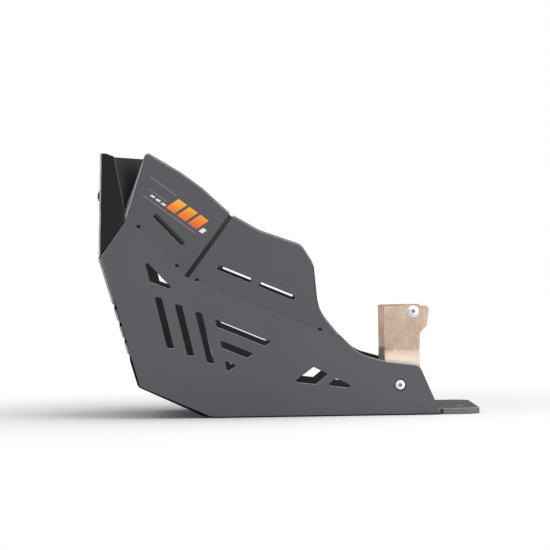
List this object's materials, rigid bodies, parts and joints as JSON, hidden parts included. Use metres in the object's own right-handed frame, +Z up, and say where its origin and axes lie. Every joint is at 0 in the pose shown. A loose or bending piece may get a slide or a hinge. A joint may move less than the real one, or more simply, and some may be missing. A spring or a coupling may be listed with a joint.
{
  "type": "motorcycle skid plate",
  "caption": "Folded black plastic skid plate with slotted side wings, a raised front panel and steel brackets, made to guard a motorcycle's engine from below.",
  "frame": {"origin": "under the middle of the whole part, on the underside of the belly", "axes": "+X to the motorcycle's rear, +Z up, the motorcycle's left side at -Y"},
  "size_m": [0.516, 0.3994, 0.3609],
  "materials": {
    "black_sheet": "matte",
    "bracket_steel": "satin",
    "zinc_steel": "satin",
    "black_steel": "satin"
  },
  "bodies": {
    "root": {"skid_plate": "black_sheet", "side_bracket_left": "bracket_steel", "side_bracket_right": "bracket_steel", "side_screw_left": "zinc_steel", "side_screw_right": "zinc_steel", "side_washer_left": "zinc_steel", "side_washer_right": "zinc_steel", "side_nut_left": "zinc_steel", "side_nut_right": "zinc_steel", "frame_bolt_left": "zinc_steel", "frame_bolt_right": "zinc_steel", "frame_washer_left": "zinc_steel", "frame_washer_right": "zinc_steel", "front_bracket": "black_steel", "front_screw_left": "black_steel", "front_screw_right": "black_steel", "front_washer_left": "zinc_steel", "front_washer_right": "zinc_steel", "front_nut_left": "zinc_steel", "front_nut_right": "zinc_steel"}
  },
  "joints": []
}
